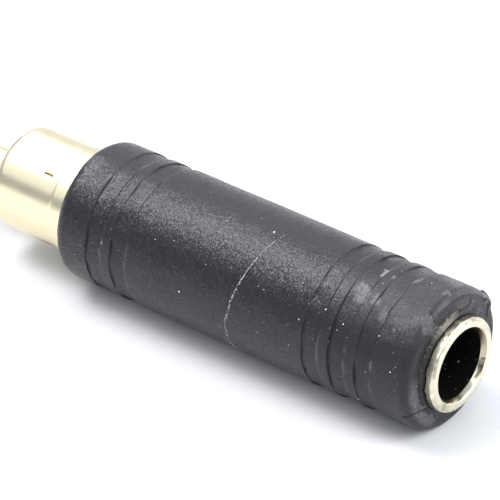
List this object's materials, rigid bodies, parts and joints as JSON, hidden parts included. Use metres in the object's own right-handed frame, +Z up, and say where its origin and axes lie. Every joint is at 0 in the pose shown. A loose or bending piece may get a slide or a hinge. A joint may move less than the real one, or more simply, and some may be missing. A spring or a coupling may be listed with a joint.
{
  "type": "audio jack adapter",
  "caption": "Round moulded adapter from a 6.35 mm jack socket to a phono plug, with shallow grooves around both ends of its black grip.",
  "frame": {"origin": "middle of the underside of the bounding box: on the surface the adapter lies on, below its axis, halfway along its length", "axes": "+X along the adapter's axis out of the mouth of the jack socket, -X along the phono plug's pin, +Z up"},
  "size_m": [0.0568, 0.013, 0.013],
  "materials": {
    "grip_pvc": "fine-grained matte black PVC with dust and light scuffs",
    "gold_plating": "polished pale gold plating on brass",
    "liner_plastic": "black moulded plastic",
    "sleeve_plastic": "natural moulded plastic",
    "spring_bronze": "rolled phosphor bronze",
    "strap_copper": "bare copper strip",
    "insulator_plastic": "black moulded plastic",
    "tinned_metal": "tinned wire and rivet",
    "solder": "dull grey solder"
  },
  "bodies": {
    "root": {"grip_overmould": "grip_pvc", "jack_bushing": "gold_plating", "socket_liner": "liner_plastic", "inner_sleeve": "sleeve_plastic", "ground_spring": "spring_bronze", "tip_spring": "spring_bronze", "tip_rivet": "tinned_metal", "ground_strap": "strap_copper", "tip_wire": "tinned_metal", "phono_shell": "gold_plating", "phono_insulator": "insulator_plastic", "phono_pin": "gold_plating", "solder_ground_spring": "solder", "solder_strap_front": "solder", "solder_strap_rear": "solder", "solder_tip_tail": "solder", "solder_pin_cup": "solder"}
  },
  "joints": []
}
